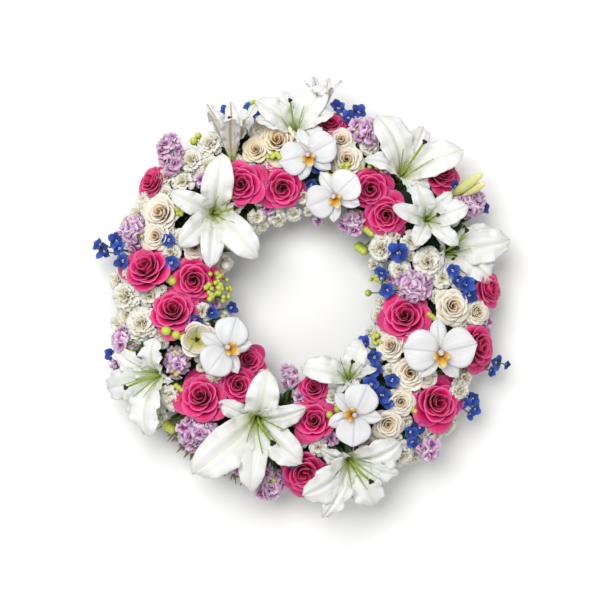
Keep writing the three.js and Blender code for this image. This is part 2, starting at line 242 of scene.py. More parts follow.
def spiralPetals(style, seed, unevenness):
    # Petals q = 0 (heart) to 1 (outermost) stand a golden angle apart round the axis, each with
    # six random numbers and a tone of its own
    rng = np.random.default_rng(seed)
    v, u = petalGrid(style)
    count = style["petals"]
    q = np.linspace(0, 1, count)[:, None, None]
    jitter = rng.uniform(-1, 1, (6, count, 1, 1))
    turn = (golden * np.arange(count))[:, None, None] + unevenness * jitter[0]
    return v, u, q, jitter, turn, rng.uniform(0, 1, (count, 1, 1))


def tubes(paths, radii, sides=6):
    # Round tubes: at each point of a path a circle of the radius there, square to the path
    step = unit(np.gradient(paths, axis=1))
    helper = np.where(np.abs(step[..., 2:]) > 0.9, [[[1.0, 0, 0]]], [[[0, 0, 1.0]]])
    side = unit(np.cross(helper, step))
    other = np.cross(step, side)
    turn = np.arange(sides) * fullTurn / sides
    circle = side[:, :, None] * np.cos(turn)[:, None] + other[:, :, None] * np.sin(turn)[:, None]
    rings = paths[:, :, None] + circle * np.broadcast_to(radii, paths.shape[:2])[..., None, None]
    along = np.linspace(0, 1, paths.shape[1])[None, :, None]
    marks = np.stack([np.broadcast_to(m, rings.shape[:3]) for m in (along, 0, 0, 0.5)], -1)
    return rings, marks


def domeRise(away):
    # The dome's height at a distance from the ring's middle, from 0 to 1: a half ellipse's, never
    # below its least
    reach = (away - dome["radius"]) / dome["reach"]
    return np.sqrt(np.maximum(dome["leastRise"] ** 2, 1 - reach ** 2))


def headPose(head):
    # Where a head's middle is, in metres, and its three axes; the third is the way it faces.
    # A head with no height or lean of its own stands on the dome and faces away from it
    x, y = head["at"]
    away = math.hypot(x, y)
    rise = float(domeRise(away))
    slope = (away - dome["radius"]) * dome["rise"] / (rise * dome["reach"] ** 2)
    leanX, leanY = head.get("lean", (slope * x / away, slope * y / away))
    height = head.get("height", dome["base"] + dome["rise"] * rise) + head.get("lift", 0)
    facing = unit(np.array([leanX, leanY, 1.0]))
    side = unit(np.cross([0, 1, 0], facing))
    up = np.cross(facing, side)
    spin = math.radians(head.get("spin", 0))
    sine, cosine = math.sin(spin), math.cos(spin)
    spun = np.array([[cosine, -sine, 0], [sine, cosine, 0], [0, 0, 1]])
    centre = ringCentre + np.array([x, y, height]) * mm
    return centre, np.stack([side, up, facing], axis=1) @ spun


def placed(shell, head):
    # Scales a head's shells to its size, turns its axis from +Z to the way it faces, and moves it
    rings, marks = shell
    centre, basis = headPose(head)
    return rings * (head["size"] * mm) @ basis.T + centre, marks


def shellQuads(count, rows, around):
    # Quads round each closed shell and from row to row, and across its first and last row
    ring = np.arange(around)
    after = (ring + 1) % around
    row = np.arange(rows - 1)[:, None] * around
    sides = np.stack([row + ring, row + after, row + around + after, row + around + ring], -1)
    half = np.arange(around // 2 - 1)
    mirror = around - 1 - half
    start = np.stack([half + 1, half, mirror, mirror - 1], -1)
    end = np.stack([half, half + 1, mirror - 1, mirror], -1) + (rows - 1) * around
    quads = np.concatenate([sides.reshape(-1, 4), start, end])
    return (quads + np.arange(count)[:, None, None] * rows * around).reshape(-1, 4)


def addObject(name, data):
    thing = bpy.data.objects.new(name, data)
    bpy.context.scene.collection.objects.link(thing)
    return thing


def buildPiece(name, shells, material, replaced=()):
    # One mesh out of closed shells, with the petals' marks kept on its points
    points, quads, marks = [], [], []
    start = 0
    for rings, ringMarks in shells:
        count, rows, around = rings.shape[:3]
        back = np.broadcast_to((np.arange(around) >= around // 2)[:, None], (count, rows, around, 1))
        points.append(rings.reshape(-1, 3))
        quads.append(shellQuads(count, rows, around) + start)
        marks.append(np.concatenate([ringMarks, back], axis=-1).reshape(-1, len(markNames)))
        start += count * rows * around
    points, quads, marks = np.concatenate(points), np.concatenate(quads), np.concatenate(marks)
    mesh = bpy.data.meshes.new(name)
    mesh.from_pydata(points.tolist(), [], quads.tolist())
    mesh.polygons.foreach_set("use_smooth", np.ones(len(quads), dtype=bool))
    for key, values in zip(markNames, marks.T):
        mesh.attributes.new(key, "FLOAT", "POINT").data.foreach_set("value", values.astype(np.float32))
    mesh.materials.append(material)
    mesh.update()
    piece = addObject(name, mesh)
    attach(piece, "root")
    if replaced:
        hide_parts(*replaced)


def numbered(kind, keys, rows, first=1):
    # Heads out of rows of values: kind_01, kind_02 and so on; a row may leave out its last values
    return {f"{kind}_{number:02d}": dict(zip(keys, row)) for number, row in enumerate(rows, first)}


def headsAt(places, **pose):
    # Heads out of places, each (across, up, size) in millimetres
    return [{"at": (x, y), "size": size, **pose} for x, y, size in places]


def branches(groups):
    return {name: headsAt(places) for name, places in groups.items()}


def allOf(groups):
    return [head for heads in groups.values() for head in heads]


print("helpers ready")


# Camera, floor and lights

cameraSetup = {
    "facesHeight": 0.105,    # the level of the flowers' faces, where the photo's scale was taken
    "distance": 2.0,
    "viewWidth": 0.84,
    "sensor": 36,
    "offset": (-0.0056, -0.0070),    # from the ring's centre to the middle of the picture
}
lightSetup = {
    "key": {"place": (-0.6, 0.8, 2.3), "size": 1.5, "power": 55},
    "fill": {"place": (1.5, -0.9, 1.7), "size": 1.8, "power": 8},
    "low": {"place": (0.4, -1.9, 0.9), "size": 1.4, "power": 4},
}
worldStrength = 0.4
flowersLevel = 0.08    # the level the lights point at, in metres
floorReach = 6


def makeCamera():
    # Straight down, with the lens that shows viewWidth at the level of the faces
    data = bpy.data.cameras.new("camera")
    data.sensor_width = cameraSetup["sensor"]
    data.lens = cameraSetup["sensor"] * cameraSetup["distance"] / cameraSetup["viewWidth"]
    camera = addObject("camera", data)
    height = cameraSetup["facesHeight"] + cameraSetup["distance"]
    camera.location = ringCentre + [*cameraSetup["offset"], height]
    bpy.context.scene.camera = camera


def makeLights():
    for name, setup in lightSetup.items():
        data = bpy.data.lights.new(name, "AREA")
        data.energy = setup["power"]
        data.size = setup["size"]
        light = addObject(name, data)
        light.location = ringCentre + setup["place"]
        toRing = ringCentre + [0, 0, flowersLevel] - np.array(light.location)
        pitch = math.atan2(math.hypot(toRing[0], toRing[1]), -toRing[2])
        light.rotation_euler = (pitch, 0, math.atan2(toRing[1], toRing[0]) - math.pi / 2)
    world = bpy.data.worlds.new("world")
    world.use_nodes = True
    background = world.node_tree.nodes["Background"].inputs
    background["Color"].default_value = (1, 1, 1, 1)
    background["Strength"].default_value = worldStrength
    bpy.context.scene.world = world
    bpy.context.scene.view_settings.view_transform = "Standard"


def makeFloor():
    # Matt white paper under the tray, so only a soft shadow shows
    material, tree = startMaterial("white_paper")
    skin = {"Base Color": linearColour("#fbfbfa"), "Roughness": 0.9}
    paper = addNode(tree, "ShaderNodeBsdfPrincipled", {}, skin)
    addNode(tree, "ShaderNodeOutputMaterial", {}, {"Surface": paper.outputs["BSDF"]})
    corners = [(x * floorReach, y * floorReach, 0) for x, y in ((-1, -1), (1, -1), (1, 1), (-1, 1))]
    mesh = bpy.data.meshes.new("floor")
    mesh.from_pydata(corners, [], [(0, 1, 2, 3)])
    mesh.materials.append(material)
    addObject("floor", mesh)


makeCamera()
makeLights()
makeFloor()
print("camera, lights and floor ready")


# Roses

# Hot pink rose petals with a satin shine: the deep crimson down in the cup and on the inner petals is
# painted shade, and the pale pink at the rolled rim is a painted highlight
roseLook = {
    "alongPetal": [
        (0.0, "#4a001c"), (0.42, "#98003a"), (0.74, "#d80c5e"), (0.92, "#ea267c"), (1.0, "#f676b0"),
    ],
    "heart": "#a8042f", "heartAmount": 0.65, "back": "#d01c62", "backAmount": 0.5,
    "veinAndShadeAmount": 0.3, "veinAndShadeColour": "#94043a", "veinDepth": 0.35,
    "toneSpread": 0.2, "roughness": 0.45, "gloss": 0.4, "sheen": 0.06, "glow": 0.1,
}
# Lengths are shares of the head's size, wraps are in radians either side of a petal's middle
roseStyle = {
    "petals": 22, "rows": 9, "columns": 10, "thickness": 0.010,
    "heartWrap": 1.7, "outerWrap": 0.86,
    "heartRadius": 0.05, "outerRadius": 0.40, "stemRadius": 0.03,
    "base": -0.36, "heartRim": 0.2, "outerRim": -0.03,
    "bendFrom": 0.62, "roll": 0.17, "ruffle": 0.024, "point": 0.07,
}
roses = numbered("rose", ("at", "size", "lean", "spin", "lift"), [
    ((-88, 155), 60, (-0.1, 0.0), 10, 8),
    ((-31, 150), 62, (0.1, -0.2), 130),
    ((94, 149), 59, (0.0, -0.1), 60),
    ((116, 112), 59, (-0.1, -0.2), 200),
    ((143, -29), 70, (-0.15, 0.2), 320),
    ((189, -152), 72, (0.25, 0.05), 45),
    ((248, -74), 68, (0.9, 0.0), 90),
    ((264, 8), 54, (1.1, 0.1), 15, -6),
    ((196, 174), 52, (0.5, 0.5), 250),
    ((-222, 40), 70, (-0.3, 0.45), 170),
    ((-155, 21), 62, (0.0, -0.1), 280),
    ((-184, -21), 68, (0.0, 0.35), 30),
    ((-145, -142), 68, (-0.1, 0.3), 100),
    ((-92, -127), 51, (0.1, 0.1), 220),
    ((-78, -92), 46, (0.3, 0.3), 310),
    ((14, -131), 43, (0.0, 0.4), 75),
    ((14, -176), 59, (-0.1, 0.2), 150),
    ((0, -252), 63, (0.0, -0.35), 265),
    ((38, 243), 44, (0.0, 0.8), 20, -6),
    ((-218, 163), 47, (-0.9, 0.6), 190),
])


def roseHead(style, seed):
    # Each petal wraps round the axis less than the one inside, rises as a cup (sine outwards, one
    # minus cosine upwards) and rolls back at its rim by the square of the way past its bend
    v, u, q, jitter, turn, tone = spiralPetals(style, seed, 0.16)
    wrap = lerp(style["heartWrap"], style["outerWrap"], q ** 0.6) * (0.4 + 0.6 * np.sin(v * math.pi / 2))
    length = v * (1 - 0.2 * np.abs(u) ** 3)
    reach = lerp(style["heartRadius"], style["outerRadius"], q ** 0.85) * (1 + 0.05 * jitter[1])
    rim = lerp(style["heartRim"], style["outerRim"], q ** 1.8) + 0.012 * jitter[2]
    stem, base = style["stemRadius"], style["base"]
    radius = stem + (reach - stem) * np.sin(length * math.pi / 2)
    height = base + (rim - base) * (1 - np.cos(length * math.pi / 2)) ** 0.8
    bent = np.clip((length - style["bendFrom"]) / (1 - style["bendFrom"]), 0, None) ** 2
    roll = style["roll"] * (0.12 + q ** 1.2) * (1 + 0.35 * jitter[3])
    radius += roll * bent * (1 - 0.35 * np.abs(u) ** 2) + 0.02 * (1 - q) * u * v
    height -= 0.55 * roll * bent ** 1.4
    ripple = np.sin(2.2 * u + 6 * jitter[4]) + 0.5 * np.sin(6 * u + 9 * jitter[5])
    height += style["ruffle"] * ripple * v ** 3
    radius += style["point"] * q * (1 - np.abs(u)) ** 2 * v ** 5
    angle = turn - u * wrap
    sheet = np.stack([radius * np.cos(angle), radius * np.sin(angle), height], -1)
    return petals(sheet, style, v, u, q, tone)


rosePetals = petalMaterial("rose_petals", roseLook)
for number, (name, head) in enumerate(roses.items()):
    shells = [placed(roseHead(roseStyle, seed=100 + number), head)]
    buildPiece(name + "_petals", shells, rosePetals, [name])
print("roses ready")


# Lilies

# White lily petals: thick, waxy and finely ribbed, green at the throat and along the midrib; their grey
# streaks are painted shade in the grooves between the ribs
lilyLook = {
    "alongPetal": [
        (0.0, "#98a440"), (0.12, "#d3d8a0"), (0.3, "#ebebe2"), (0.8, "#f4f4f3"), (1.0, "#ebebe2"),
    ],
    "ribColour": "#c8cba6", "ribAmount": 0.4, "ribWidth": 0.13, "back": "#e6e8dc",
    "veins": 18, "veinAndShadeAmount": 0.26, "veinAndShadeColour": "#c4c5c4", "veinDepth": 0.8,
    "toneSpread": 0.07, "roughness": 0.42, "gloss": 0.45, "sheen": 0.05, "glow": 0.18,
}
# The same petals seen from outside, where the midrib is broad and straw-brown
trumpetLook = dict(lilyLook, ribColour="#b3924a", ribAmount=0.95, ribWidth=0.2)
# broad and narrow are half widths, as shares of a petal's length; angles are in degrees
lilyStyle = {
    "rows": 24, "columns": 17, "thickness": 0.007, "broad": 0.225, "narrow": 0.165,
    "throatAngle": 12, "tipAngle": 124, "throatDepth": 0.36, "throatRadius": 0.022,
    "widest": 0.56, "evenLength": 0.62,
    "groove": 0.026, "folds": 0.006, "cup": 0.035, "ruffle": 0.032, "ruffles": 4,
}
# throat: where the petals meet, across and up the picture; petals: the way each points (degrees)
# and how far it reaches (mm), broad and narrow by turns; style: the same of the pistil's style;
# the last three are the lily's own where it isn't like the rest
lilyKeys = ("throat", "height", "size", "lean", "style", "petals", "broad", "narrow", "ruffle")
trumpetKeys = ("throat", "height", "size", "lean", "tipAngle", "broad", "narrow", "spin")
lilies = numbered("lily", lilyKeys, [
    ((-128, 117), 126, 150, (0.1, -0.1), (4, 34),
     [(90, 94), (154, 78), (214, 76), (262, 84), (322, 94), (8, 48)], 0.195),
    ((-14, 230), 118, 130, (0.0, 0.35), (97, 44),
     [(45, 76), (100, 58), (155, 70), (184, 62), (322, 62), (12, 66)]),
    ((136, 168), 122, 150, (0.3, 0.35), (53, 60),
     [(117, 92), (61, 78), (7, 90), (288, 48), (322, 46), (166, 68)]),
    ((173, 106), 134, 120, (0.05, 0.0), (20, 12),
     [(14, 62), (58, 54), (104, 58), (171, 62), (241, 48), (312, 60)]),
    ((198, 63), 108, 150, (0.6, 0.0), (42, 40),
     [(4, 88), (36, 74), (330, 78), (280, 54), (225, 44), (120, 44)], 0.225, 0.24, 0.05),
    ((-66, -175), 126, 180, (0.0, -0.15), (-53, 38),
     [(77, 90), (146, 68), (210, 122), (257, 104), (321, 92), (13, 84)], 0.21),
    ((64, -120), 118, 126, (-0.1, 0.4), (85, 30),
     [(64, 58), (150, 58), (181, 72), (245, 34), (295, 36), (16, 44)]),
    ((63, -232), 112, 160, (0.2, -0.35), (-43, 44),
     [(31, 84), (154, 60), (198, 94), (234, 90), (304, 78), (350, 74)], 0.25, 0.165, 0.042),
    ((-202, -111), 114, 150, (-0.6, -0.2), (200, 56),
     [(80, 64), (138, 76), (188, 82), (238, 82), (264, 92), (335, 30)], 0.225, 0.165, 0.045),
])
lilies |= numbered("lily", trumpetKeys, [
    ((-101, 194), 112, 132, (-0.1, 2.2), 38, 0.17, 0.13, 30),
    ((25, 259), 96, 86, (0.1, 1.8), 52, 0.15, 0.12, 0),
], 10)
evenPetals = [(60 * k, None) for k in range(6)]
# Lengths and radii are shares of the lily's size
pistilSetup = {
    "rows": 12, "length": 0.48, "styleRadius": 0.015, "mostBend": 0.27,
    "filament": 0.38, "filamentRadius": 0.0085, "spread": 0.12,
}


def throatAtPlace(head, depth):
    # A lily's head stands off its throat by its depth times its size along the way it faces
    shift = depth * head["size"] * unit(np.array([*head["lean"], 1.0]))
    return dict(head, at=(head["throat"][0] + shift[0], head["throat"][1] + shift[1]))


def bentLine(length, startAngle, endAngle, rows):
    # A line whose angle to the flower's axis turns from startAngle to endAngle; its radius and
    # height are the running sums of that angle's sine and cosine
    t = np.linspace(0, 1, rows)
    angle = np.radians(lerp(startAngle, endAngle, t ** 1.3))
    step = length / (rows - 1)
    middle = (angle[1:] + angle[:-1]) / 2
    radius = np.concatenate([[0], np.cumsum(np.sin(middle))]) * step
    height = np.concatenate([[0], np.cumsum(np.cos(middle))]) * step
    return radius[None, :, None], height[None, :, None], angle[None, :, None]


def lilyHead(style, head, seed):
    # Six petals, a broad one and a narrow one by turns. Each widens from a narrow root to its
    # widest and closes in a blunt tip (a power of one minus a power), has a groove along its
    # midrib, lifted edges, and a ruffle that grows with the square of the way across
    rng = np.random.default_rng(seed)
    v, u = petalGrid(style)
    tones = rng.uniform(0, 1, 6)
    widest = style["widest"]
    widen = 0.24 + 0.76 * np.sin(np.clip(v / widest, 0, 1) * math.pi / 2) ** 1.2
    blunt = (1 - np.clip((v - widest) / (1 - widest), 0, 1) ** 2.1) ** 0.62
    reachIn = np.sin(math.pi * v ** 0.8) ** 0.5
    ruffle = head.get("ruffle", style["ruffle"])
    sheets = []
    for k, (turn, reach) in enumerate(head.get("petals", evenPetals)):
        tip = head.get("tipAngle", style["tipAngle"]) + rng.uniform(-22, 14)
        length = style["evenLength"] if reach is None else 1.2 * reach / head["size"]
        radius, height, angle = bentLine(length, style["throatAngle"], tip, style["rows"])
        width, layer = ("broad", 1) if k % 2 == 0 else ("narrow", -1)
        outline = length * head.get(width, style[width]) * widen * blunt + 0.003
        phase = rng.uniform(*anyPhase, 4)
        sideways = outline * u + 0.1 * length * math.sin(phase[2]) * v ** 2.2
        wave = np.sin(style["ruffles"] * fullTurn * v + phase[0] + 1.5 * np.sign(u))
        wave = wave + 0.6 * np.sin(style["ruffles"] * 4.3 * math.pi * v + phase[1] + 2 * u)
        lift = (
            style["cup"] * u ** 2 * (1 - 1.6 * v)
            - style["groove"] * np.exp(-((u / 0.16) ** 2)) * reachIn
            + style["folds"] * np.cos(11 * u + phase[3]) * reachIn * (1 - u ** 2)
            + ruffle * wave * np.abs(u) ** 2 * reachIn * (0.4 + 0.6 * v)
            + 0.02 * math.sin(phase[3]) * u * v
        )
        out = radius + style["throatRadius"] - np.cos(angle) * lift
        up = height - style["throatDepth"] + 0.004 * layer + np.sin(angle) * lift
        sheets.append(turnedSheet(out, sideways, up, math.radians(turn)))
    return petals(np.concatenate(sheets), style, v, u, 1.0, tones[:, None, None])


def lilyPistil(setup, head, seed):
    # A long style that leaves the axis by the square of the way along, so that its tip ends where
    # the head's "style" says; six filaments spread round it, and three small lobes are its stigma
    rng = np.random.default_rng(seed)
    t = np.linspace(0, 1, setup["rows"])
    base = -lilyStyle["throatDepth"] - 0.04
    bend = np.zeros(2)
    if "style" in head:
        angle, reach = math.radians(head["style"][0]), head["style"][1]
        facing = unit(np.array([*head["lean"], 1.0]))
        wanted = np.array([math.cos(angle), math.sin(angle)]) * reach / head["size"]
        missing = wanted - facing[:2] * setup["length"]
        bend = np.clip(missing, -setup["mostBend"], setup["mostBend"])
    style = np.stack([bend[0] * t ** 2, bend[1] * t ** 2, base + setup["length"] * t], -1)[None]
    styleTube = tubes(style, setup["styleRadius"] * (1 - 0.3 * t[None]))
    turn = np.arange(6)[:, None] * math.pi / 3 + rng.uniform(*anyPhase)
    long = rng.uniform(0.8, 1.1, (6, 1))
    spread = (0.025 + setup["spread"] * t ** 1.6)[None] * long
    filaments = np.stack([
        spread * np.cos(turn) + 0.6 * bend[0] * t[None] ** 2,
        spread * np.sin(turn) + 0.6 * bend[1] * t[None] ** 2,
        base + setup["filament"] * t[None] * long,
    ], -1)
    filamentTubes = tubes(filaments, setup["filamentRadius"] * (1 - 0.6 * t[None]))
    s = np.linspace(-1, 1, 6)
    lobe = np.arange(3)[:, None] * fullTurn / 3
    lobeReach = 0.014 * (1 + 0.8 * s)
    lobes = np.stack([lobeReach * np.cos(lobe), lobeReach * np.sin(lobe), 0.006 * s + 0 * lobe], -1)
    knob = tubes(style[:, -1:] + lobes, 0.003 + 0.013 * np.sqrt(1 - s ** 2)[None])
    return [styleTube, filamentTubes], knob


lilies = {name: throatAtPlace(head, lilyStyle["throatDepth"]) for name, head in lilies.items()}
lilyPetals = petalMaterial("lily_petals", lilyLook)
trumpetPetals = petalMaterial("trumpet_petals", trumpetLook)
# A lily's style and filaments, fresh yellow-green, and its sticky stigma, almost black
pistilGreen = stemMaterial("lily_pistil", [(0.0, "#b7c850"), (1.0, "#7f9a2c")])
pistilKnob = stemMaterial("lily_stigma", [(0.0, "#2c0c16"), (1.0, "#2c0c16")])
pistilShells, knobShells = [], []
for number, (name, head) in enumerate(lilies.items()):
    skin = lilyPetals if "petals" in head else trumpetPetals
    shells = [placed(lilyHead(lilyStyle, head, seed=200 + number), head)]
    buildPiece(name + "_petals", shells, skin, [name])
    stalks, knob = lilyPistil(pistilSetup, head, seed=300 + number)
    pistilShells += [placed(stalk, head) for stalk in stalks]
    knobShells.append(placed(knob, head))
buildPiece("lily_pistils", pistilShells, pistilGreen)
buildPiece("lily_stigmas", knobShells, pistilKnob)
print("lilies ready")


# Orchids

# Moth orchid petals: smooth and cool white; the grey line down the midrib, the faint grey streaks and the
# greyer root are painted shade, so they look soft and thick
orchidLook = {
    "alongPetal": [(0.0, "#cfc6c4"), (0.15, "#dcdbd9"), (0.6, "#e9e9e9"), (1.0, "#e2e3e4")],
    "ribColour": "#b4b5bb", "ribAmount": 0.55, "ribWidth": 0.09, "back": "#dcdfd4",
    "veins": 14, "veinAndShadeAmount": 0.24, "veinAndShadeColour": "#bfbec6", "veinDepth": 0.6,
    "toneSpread": 0.05, "roughness": 0.38, "gloss": 0.45, "sheen": 0.08, "glow": 0.22,
}
# The lip: orange-brown streaks at its root, yellow, then cream at its rim
lipLook = dict(
    orchidLook,
    alongPetal=[
        (0.0, "#7a3c10"), (0.3, "#d8961c"), (0.6, "#f0cc50"), (0.85, "#f6ecc4"), (1.0, "#f8f4e8"),
    ],
    ribAmount=0, veinAndShadeAmount=0.4, veinAndShadeColour="#a05020", veins=8,
)
orchidStyle = {
    "rows": 14, "columns": 15, "thickness": 0.010,
    "petals": [    # angle, length, half width, height, how far it bends back
        (90, 0.44, 0.125, -0.030, 0.05),
        (232, 0.43, 0.125, -0.030, 0.06),
        (-52, 0.43, 0.125, -0.030, 0.06),
        (8, 0.50, 0.30, 0.012, 0.06),
        (172, 0.50, 0.30, 0.018, 0.06),
    ],
}
lipStyle = {
    "rows": 8, "columns": 7, "thickness": 0.012,
    "lobes": [    # angle, length, half width, rise, curl of its edges
        (-90, 0.17, 0.065, 0.08, 0.04),
        (-20, 0.12, 0.06, 0.11, -0.05),
        (200, 0.12, 0.06, 0.11, -0.05),
    ],
}
orchids = numbered("orchid", ("at", "height", "size", "lean", "spin"), [
    ((6, 196), 112, 84, (-0.2, -0.1), 20),
    ((42, 138), 118, 84, (-0.25, -0.2), 30),
    ((189, -79), 121, 102, (0.1, -0.1), 2),
    ((70, -166), 120, 88, (0.1, -0.1), -103),
    ((-108, -73), 118, 88, (0.3, 0.1), 62),
])


def orchidHead(style, seed):
    # Rounded petals: the half width is a power of a half sine of the way along, full near the rim;
    # the surface bends back as the square of the way along and its edges wave a little
    rng = np.random.default_rng(seed)
    v, u = petalGrid(style)
    v = 1 - (1 - v) ** 1.7    # closer rows towards the rim keep it round
    arch = np.sin(math.pi * v)
    sheets = []
    for angle, length, half, level, bend in style["petals"]:
        phase = rng.uniform(*anyPhase)
        outline = half * (0.1 * (1 - v) + 0.9 * np.sin(math.pi * v ** 1.25) ** 0.42) + 0.002
        up = (
            level + 0.05 * v - bend * v ** 2
            - 0.03 * u ** 2 * v
            + 0.010 * np.sin(5 * u + 4 * v + phase) * v
            - 0.014 * np.exp(-((u / 0.09) ** 2)) * arch
            + 0.006 * np.cos(8 * u + phase) * arch
        )
        turn = math.radians(angle + rng.uniform(-4, 4))
        out = 0.02 + length * v * (1 - 0.06 * u ** 2)
        sheets.append(turnedSheet(out, outline * u, up, turn))
    tone = rng.uniform(0, 1, (len(sheets), 1, 1))
    return petals(np.concatenate(sheets), style, v, u, 1.0, tone)


def orchidLip(style):
    # Two side lobes that stand up and a middle lobe that hangs forward under the column
    v, u = petalGrid(style)
    sheets = []
    for angle, length, half, rise, curl in style["lobes"]:
        outline = half * (0.25 + 0.75 * np.sin(math.pi * v ** 0.7) ** 0.6) * (1 - 0.7 * v ** 10)
        up = 0.03 + rise * np.sin(v * math.pi * 0.6) + curl * u ** 2
        sheets.append(turnedSheet(0.01 + length * v, outline * u, up, math.radians(angle)))
    sheet = np.concatenate(sheets) - [0, 0.03, 0]
    return petals(sheet, style, v, u, 1.0, 0.5)


def orchidColumn():
    # A short blunt column over the lip
    t = np.linspace(0, 1, 7)
    path = np.stack([0 * t, 0.01 - 0.035 * t, 0.02 + 0.11 * t], -1)[None]
    return tubes(path, (0.03 + 0.014 * np.sin(math.pi * t) - 0.028 * t ** 4)[None], 8)


orchidPetals = petalMaterial("orchid_petals", orchidLook)
orchidLips = petalMaterial("orchid_lips", lipLook)
for number, (name, head) in enumerate(orchids.items()):
    bloom = orchidHead(orchidStyle, seed=400 + number)
    shells = [placed(bloom, head), placed(orchidColumn(), head)]
    buildPiece(name + "_petals", shells, orchidPetals, [name])
buildPiece("orchid_lips", [placed(orchidLip(lipStyle), head) for head in orchids.values()], orchidLips)
print("orchids ready")


# Lisianthus

# Lisianthus petals: thin, cream and silky, yellow-green down in the bell
lisianthusLook = {
    "alongPetal": [(0.0, "#93a02c"), (0.3, "#ccc96a"), (0.55, "#eee6d2"), (1.0, "#f8f0ea")],
    "heart": "#c3ca50", "heartSize": 0.2, "heartAmount": 0.3, "back": "#e9dcc0",
    "veinAndShadeColour": "#cdb98c", "toneSpread": 0.05,
}
lisianthusStyle = dict(
    roseStyle, petals=9, rows=8, columns=9, thickness=0.012,
    heartWrap=0.75, outerWrap=0.75, heartRadius=0.3, outerRadius=0.44,
    heartRim=0.1, outerRim=0.0, roll=0.1, ruffle=0.03, point=0.04,
)
lisianthus = {"at": (-149, -62), "height": 114, "size": 52, "lean": (0.1, 0.1)}


def threeLobes():
    # Three dark lobes that spread from the middle of the bell
    t = np.linspace(0, 1, 6)
    turn = np.arange(3)[:, None] * fullTurn / 3
    reach = 0.07 * t ** 0.8
    paths = np.stack([reach * np.cos(turn), reach * np.sin(turn), 0.02 - 0.03 * t ** 2 + 0 * turn], -1)
    return tubes(paths, (0.035 * np.sqrt(1 - (2 * t - 1) ** 2) + 0.004)[None])


lisianthusPetals = petalMaterial("lisianthus_petals", lisianthusLook)
lisianthusShells = [placed(roseHead(lisianthusStyle, seed=600), lisianthus)]
buildPiece("lisianthus_01_petals", lisianthusShells, lisianthusPetals, ["lisianthus_01"])
buildPiece("lisianthus_stigma", [placed(threeLobes(), lisianthus)], pistilKnob)
print("lisianthus ready")


# Ruffled heads: stock, carnations and small white fillers

# Frilled petals: soft and matt, with a dark root and a darker heart, painted shade that deepens the gaps
# between them
ruffledLook = {
    "heartAmount": 0.4, "backAmount": 0.3, "veins": 10, "veinAndShadeAmount": 0.25,
    "toneSpread": 0.1, "roughness": 0.6, "gloss": 0.3, "sheen": 0.3, "glow": 0.18,
}
# Stock florets: pale pink to near white at the rim with their own magenta middles; the near-black magenta
# at the root is painted shade between the florets
stockLook = dict(
    ruffledLook,
    alongPetal=[(0.0, "#4a0c38"), (0.34, "#98387e"), (0.6, "#d69ace"), (1.0, "#fbeaf8")],
    veinAndShadeColour="#a85a9c", heart="#7c1c60", back="#98387e", heartAmount=0.35, toneSpread=0.25,
)
# White frills: cream-white; the olive-brown at the root and on the inner petals is painted shade in the
# crevices
whiteLook = dict(
    ruffledLook,
    alongPetal=[(0.0, "#8a7a3c"), (0.32, "#d0c6a0"), (0.66, "#f0ebdc"), (1.0, "#faf8f2")],
    veinAndShadeColour="#cdc5aa", heart="#b0a35c", back="#d0c6a0",
)
stockFloret = {
    "petals": 8, "rows": 5, "columns": 6, "thickness": 0.022,
    "length": 0.56, "half": 0.26, "heartTilt": 22, "outerTilt": 100, "frill": 0.07, "frills": 3.0,
}
carnationStyle = {
    "petals": 30, "rows": 6, "columns": 9, "thickness": 0.010,
    "length": 0.5, "half": 0.19, "heartTilt": 6, "outerTilt": 96, "frill": 0.04, "frills": 7,
}
fillerStyle = {
    "petals": 15, "rows": 5, "columns": 7, "thickness": 0.016,
    "length": 0.5, "half": 0.23, "heartTilt": 10, "outerTilt": 92, "frill": 0.045, "frills": 5,
}
ruffledBase = -0.2    # where a ruffled head's petals are rooted, as a share of its size


def ruffledHead(style, seed):
    # Fan-shaped petals, upright at the heart and flat at the edge; each widens along its length,
    # and waves across it that grow as the square of the way along frill it
    v, u, q, jitter, turn, tone = spiralPetals(style, seed, 0.25)
    tilt = np.radians(lerp(style["heartTilt"], style["outerTilt"], q ** 0.75) + 9 * jitter[1])
    bend = tilt * (0.55 + 0.45 * v)
    length = style["length"] * v * (1 + 0.1 * jitter[2]) * (1 - 0.16 * u ** 2) * lerp(0.62, 1, q ** 0.5)
    across = style["half"] * u * v ** 0.7 * (1 + 0.15 * jitter[3])
    frills = style["frills"]
    waves = np.sin(frills * u + 5 * jitter[4]) + 0.6 * np.sin(2.1 * frills * u + 7 * jitter[5])
    lift = style["frill"] * waves * v ** 2
    out = 0.02 + length * np.sin(bend) - lift * np.cos(bend)
    up = ruffledBase + length * np.cos(bend) + lift * np.sin(bend)
    return petals(turnedSheet(out, across, up, turn), style, v, u, q, tone)


def clusterOf(spike, floretSize, seed):
    # Small double flowers over an egg-shaped spike: the golden spiral on a half ellipsoid,
    # each turned to face away from the spike's middle
    rng = np.random.default_rng(seed)
    middleX, middleY = spike["at"]
    halfX, halfY = spike["half"]
    leanX, leanY = spike["lean"]
    shells = []
    for k in range(spike["florets"]):
        slope = math.sqrt((k + 0.5) / spike["florets"]) * 1.25
        turn = golden * k + seed
        outX, outY = math.sin(slope) * math.cos(turn), math.sin(slope) * math.sin(turn)
        place = (middleX + halfX * outX + rng.uniform(-4, 4), middleY + halfY * outY + rng.uniform(-4, 4))
        height = spike["height"] + spike["rise"] * (math.cos(slope) - 1) + rng.uniform(-9, 6)
        floretLeanX = leanX * 0.4 + 1.2 * outX + rng.uniform(-0.4, 0.4)
        floretLeanY = leanY * 0.4 + 1.2 * outY + rng.uniform(-0.4, 0.4)
        size = floretSize * rng.uniform(0.85, 1.1)
        floret = {"at": place, "height": height, "size": size, "lean": (floretLeanX, floretLeanY)}
        floret["spin"] = rng.uniform(0, 360)
        shells.append(placed(ruffledHead(stockFloret, seed * 40 + k), floret))
    return shells


